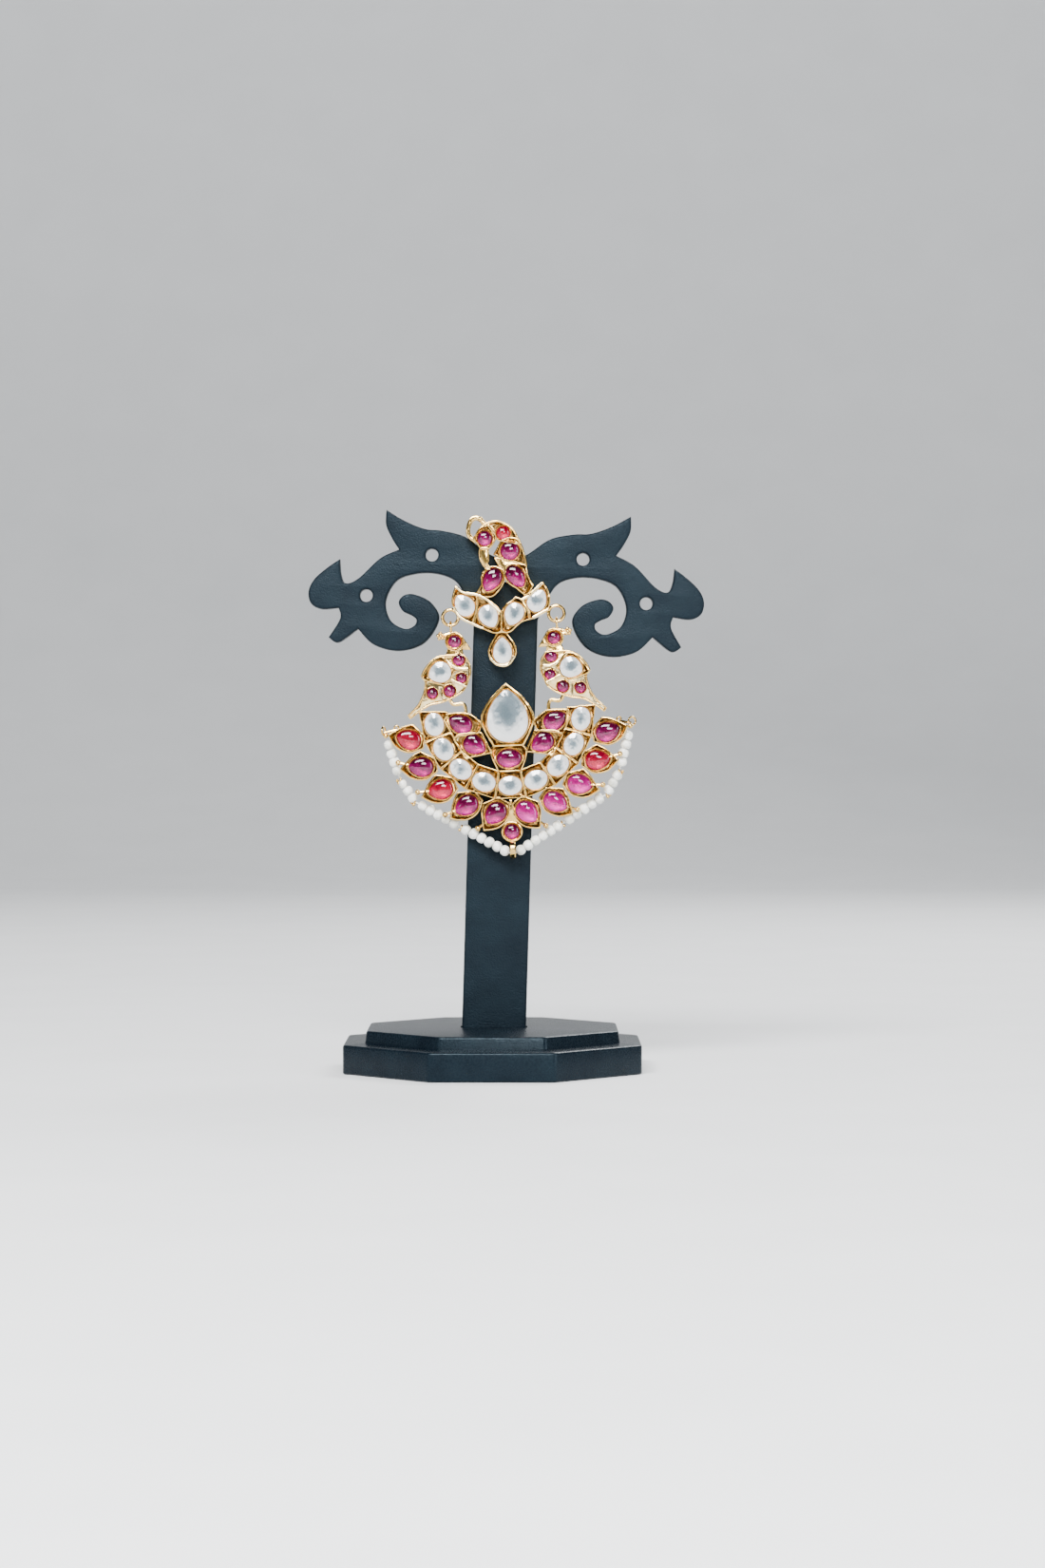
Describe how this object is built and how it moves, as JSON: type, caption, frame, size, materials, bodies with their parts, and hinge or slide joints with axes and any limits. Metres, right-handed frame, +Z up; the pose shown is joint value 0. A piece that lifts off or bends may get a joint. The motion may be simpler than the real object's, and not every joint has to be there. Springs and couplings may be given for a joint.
{
  "type": "chandbali earring on a display stand",
  "caption": "Chandbali earring with a peacock top and a swinging crescent with birds and a string of beads, hung on a black scroll-armed display stand.",
  "frame": {"origin": "middle of the base's underside, on the surface it stands on", "axes": "+Z up, front of the stand and earring towards -Y, +X to the right seen from the front"},
  "size_m": [0.087, 0.065, 0.1232],
  "materials": {
    "black_plastic": "matte grained black, faintly blue",
    "gold": "polished yellow gold plating",
    "ruby": "polished magenta red glass over foil",
    "polki": "polished clear glass over silver foil",
    "bead_white": "milky white, satin"
  },
  "bodies": {
    "root": {"stand_base": "black_plastic", "stand_upright": "black_plastic", "stone_back_lower": "ruby", "stone_back_upper": "ruby", "stone_body_left": "ruby", "stone_body_right": "ruby", "stone_peacock_head": "ruby", "stone_pendant": "polki", "stone_row_inner_left": "polki", "stone_row_inner_right": "polki", "stone_row_outer_left": "polki", "stone_row_outer_right": "polki", "top_frame": "gold"},
    "drop": {"bead_string": "bead_white", "drop_frame": "gold", "stone_band_1": "polki", "stone_band_2": "polki", "stone_band_3": "polki", "stone_band_4": "polki", "stone_band_5": "polki", "stone_band_6": "polki", "stone_band_7": "polki", "stone_band_8": "polki", "stone_band_9": "polki", "stone_bird_head_left": "ruby", "stone_bird_head_right": "ruby", "stone_centre_pear": "polki", "stone_inner_lower_left": "ruby", "stone_inner_lower_right": "ruby", "stone_inner_oval": "ruby", "stone_inner_upper_left": "ruby", "stone_inner_upper_right": "ruby", "stone_leaf_left_1": "ruby", "stone_leaf_left_2": "ruby", "stone_leaf_left_3": "ruby", "stone_leaf_left_4": "ruby", "stone_leaf_left_5": "ruby", "stone_leaf_right_1": "ruby", "stone_leaf_right_2": "ruby", "stone_leaf_right_3": "ruby", "stone_leaf_right_4": "ruby", "stone_leaf_right_5": "ruby", "stone_tip": "ruby", "stone_wing_left": "polki", "stone_wing_right": "polki"}
  },
  "joints": [
    {"name": "drop_swing", "type": "hinge", "parent": "root", "child": "drop", "pos_m": [0.00243, -0.00585, 0.09809], "axis": [-0.9992, 0, -0.0401], "range_deg": [-1, 90]}
  ]
}
